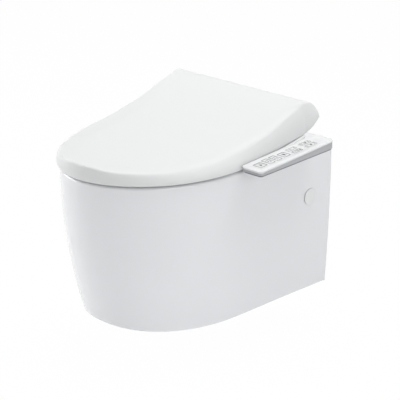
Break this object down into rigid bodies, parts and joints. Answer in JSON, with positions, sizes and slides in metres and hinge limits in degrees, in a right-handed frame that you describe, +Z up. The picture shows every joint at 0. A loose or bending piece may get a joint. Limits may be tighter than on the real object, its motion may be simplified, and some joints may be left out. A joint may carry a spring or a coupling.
{
  "type": "wall-hung smart toilet",
  "caption": "Wall-hung toilet with a heated seat, a soft-closing sloped lid, a spray wand and warm-air unit behind the seat, and a side control panel with push keys.",
  "frame": {"origin": "midpoint between the two wall studs, on the wall plane", "axes": "+Y into the wall, +Z up, +X to the right for someone who faces the front of the pan, which is the side of the control panel"},
  "size_m": [0.4397, 0.5449, 0.411],
  "materials": {
    "ceramic": "glossy white glaze",
    "lid_plastic": "glossy white",
    "seat_plastic": "glossy white",
    "case_plastic": "satin white",
    "panel_white": "glossy white",
    "panel_grey": "satin pale grey",
    "dark_plastic": "matt dark grey",
    "pale_plastic": "matt off-white",
    "steel": "brushed",
    "brass": "plain brass",
    "rubber": "soft pale grey",
    "mat_foam": "closed-cell foam",
    "board": "circuit board",
    "foil": "foil"
  },
  "bodies": {
    "pan": {"ceramic_pan": "ceramic", "wall_mat": "mat_foam", "wall_bracket_left": "steel", "wall_bracket_right": "steel", "fixing_screws": "steel", "side_cap_left": "case_plastic", "side_cap_right": "case_plastic", "deck_plate": "steel", "deck_bolts": "steel", "deck_nuts": "pale_plastic", "case_cover": "case_plastic", "case_tray": "case_plastic", "case_screws": "steel", "seat_damper": "dark_plastic", "lid_damper": "dark_plastic", "wand_guide": "dark_plastic", "wand_motor": "steel", "water_inlet": "brass", "water_valve": "dark_plastic", "valve_coil": "steel", "water_heater": "pale_plastic", "dryer_blower_case": "dark_plastic", "dryer_motor": "steel", "odour_fan_case": "dark_plastic", "odour_filter": "dark_plastic", "flap_hinge_ears": "pale_plastic", "power_supply": "dark_plastic", "main_board": "board", "cord_gland": "pale_plastic", "panel_body": "panel_grey", "panel_plate": "panel_white", "panel_board": "board"},
    "seat": {"seat_top_shell": "seat_plastic", "seat_bottom_shell": "seat_plastic", "seat_heater_foil": "foil", "seat_bumpers": "rubber", "seat_hinge_shaft": "steel"},
    "lid": {"lid_shell": "lid_plastic", "lid_bumpers": "rubber", "lid_hinge_shaft": "steel"},
    "wand": {"spray_wand": "pale_plastic", "nozzle_head": "steel", "nozzle_cover": "case_plastic", "wand_rack": "pale_plastic"},
    "pinion": {"drive_pinion": "pale_plastic"},
    "dryer_fan": {"dryer_impeller": "dark_plastic"},
    "odour_fan": {"odour_fan": "dark_plastic"},
    "flap": {"dryer_flap": "pale_plastic"},
    "release": {"release_button": "case_plastic"},
    "stop_key": {"stop_key": "panel_white"},
    "rear_wash_key": {"rear_wash_key": "panel_white"},
    "front_wash_key": {"front_wash_key": "panel_white"},
    "dryer_key": {"dryer_key": "panel_white"},
    "pressure_down_key": {"pressure_down_key": "panel_white"},
    "pressure_up_key": {"pressure_up_key": "panel_white"},
    "position_back_key": {"position_back_key": "panel_white"},
    "position_front_key": {"position_front_key": "panel_white"}
  },
  "joints": [
    {"name": "seat_hinge", "type": "hinge", "parent": "pan", "child": "seat", "pos_m": [0, -0.085, 0.165], "axis": [1, 0, 0], "range_deg": [-94, 0]},
    {"name": "lid_hinge", "type": "hinge", "parent": "seat", "child": "lid", "pos_m": [0, -0.085, 0.165], "axis": [-1, 0, 0], "range_deg": [0, 95]},
    {"name": "wand_slide", "type": "slide", "parent": "pan", "child": "wand", "axis": [0, -0.9063, -0.4226], "range_m": [0, 0.1]},
    {"name": "pinion_spin", "type": "hinge", "parent": "pan", "child": "pinion", "pos_m": [0, -0.15632, 0.15212], "axis": [1, 0, 0], "range_deg": [-960, 0]},
    {"name": "dryer_fan_spin", "type": "hinge", "parent": "pan", "child": "dryer_fan", "pos_m": [0.05, -0.17, 0.125], "axis": [0, 0, 1], "continuous": true},
    {"name": "odour_fan_spin", "type": "hinge", "parent": "pan", "child": "odour_fan", "pos_m": [-0.046, -0.17, 0.12], "axis": [0, 0, 1], "continuous": true},
    {"name": "dryer_flap_hinge", "type": "hinge", "parent": "pan", "child": "flap", "pos_m": [0.05, -0.2352, 0.1216], "axis": [-1, 0, 0], "range_deg": [0, 50]},
    {"name": "release_press", "type": "slide", "parent": "pan", "child": "release", "axis": [1, 0, 0], "range_m": [0, 0.003], "stiffness_N_per_m": 600},
    {"name": "stop_key_press", "type": "slide", "parent": "pan", "child": "stop_key", "axis": [0, 0.0621, -0.9981], "range_m": [0, 0.0008], "stiffness_N_per_m": 1500},
    {"name": "rear_wash_key_press", "type": "slide", "parent": "pan", "child": "rear_wash_key", "axis": [0, 0.0621, -0.9981], "range_m": [0, 0.0008], "stiffness_N_per_m": 1500},
    {"name": "front_wash_key_press", "type": "slide", "parent": "pan", "child": "front_wash_key", "axis": [0, 0.0621, -0.9981], "range_m": [0, 0.0008], "stiffness_N_per_m": 1500},
    {"name": "dryer_key_press", "type": "slide", "parent": "pan", "child": "dryer_key", "axis": [0, 0.0621, -0.9981], "range_m": [0, 0.0008], "stiffness_N_per_m": 1500},
    {"name": "pressure_down_key_press", "type": "slide", "parent": "pan", "child": "pressure_down_key", "axis": [0, 0.0621, -0.9981], "range_m": [0, 0.0008], "stiffness_N_per_m": 1500},
    {"name": "pressure_up_key_press", "type": "slide", "parent": "pan", "child": "pressure_up_key", "axis": [0, 0.0621, -0.9981], "range_m": [0, 0.0008], "stiffness_N_per_m": 1500},
    {"name": "position_back_key_press", "type": "slide", "parent": "pan", "child": "position_back_key", "axis": [0, 0.0621, -0.9981], "range_m": [0, 0.0008], "stiffness_N_per_m": 1500},
    {"name": "position_front_key_press", "type": "slide", "parent": "pan", "child": "position_front_key", "axis": [0, 0.0621, -0.9981], "range_m": [0, 0.0008], "stiffness_N_per_m": 1500}
  ],
  "couplings": [
    {"joint": "pinion_spin", "follows": "wand_slide", "rad_per_m": -166.67}
  ]
}
